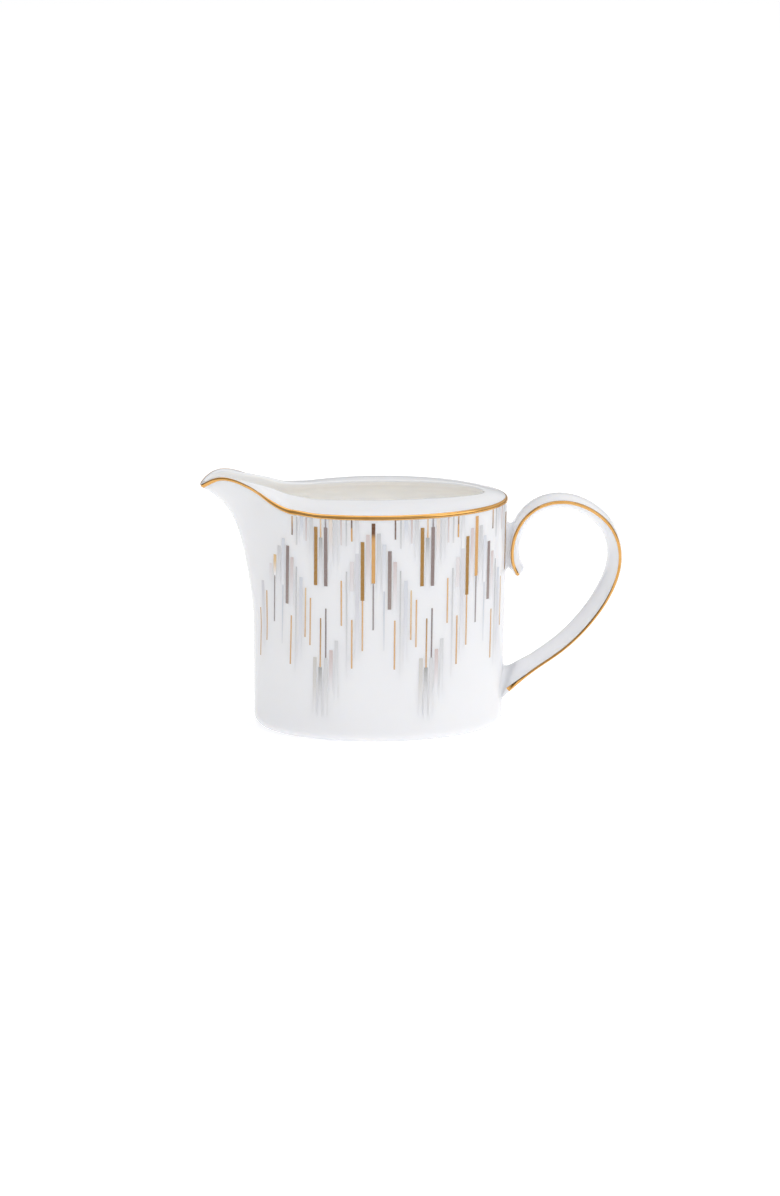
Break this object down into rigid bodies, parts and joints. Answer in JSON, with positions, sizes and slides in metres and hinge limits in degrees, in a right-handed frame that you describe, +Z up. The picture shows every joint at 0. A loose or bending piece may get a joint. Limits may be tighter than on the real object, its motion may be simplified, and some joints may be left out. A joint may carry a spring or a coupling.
{
  "type": "cream jug",
  "caption": "Small oval porcelain jug with a pulled pouring spout, a strap handle with a scrolled upper end, gilt edges and a printed zigzag of fine vertical strokes.",
  "frame": {"origin": "on the surface that the foot ring stands on, under the middle of the jug's overall length and width", "axes": "+Z up out of the mouth, +X from the spout towards the handle, +Y to the back; the jug mirrors across the XZ plane"},
  "size_m": [0.1399, 0.0492, 0.0865],
  "materials": {
    "porcelain": "clear glossy glaze over white porcelain",
    "porcelain_handle": "clear glossy glaze over white porcelain",
    "slip_pad": "glazed luting slip of the same porcelain",
    "gilding": "burnished gold, fired on the glaze",
    "print_gold": "matt gold enamel print",
    "print_copper": "copper-gold enamel print shading to dark brown at the top",
    "print_taupe": "taupe enamel print",
    "print_grey": "grey enamel print fading down to nothing",
    "print_pale": "pale blush, blue and grey enamel print",
    "print_dark": "dark mauve-brown hairline enamel print"
  },
  "bodies": {
    "root": {"jug_body": "porcelain", "handle": "porcelain_handle", "handle_upper_joint": "slip_pad", "handle_lower_joint": "slip_pad", "gilt_rim_band": "gilding", "gilt_handle_line_front": "gilding", "gilt_handle_line_back": "gilding", "print_gold_bars": "print_gold", "print_copper_bars": "print_copper", "print_taupe_bars": "print_taupe", "print_grey_bars": "print_grey", "print_pale_bars": "print_pale", "print_gold_lines": "print_gold", "print_dark_lines": "print_dark", "print_pale_lines": "print_pale"}
  },
  "joints": []
}
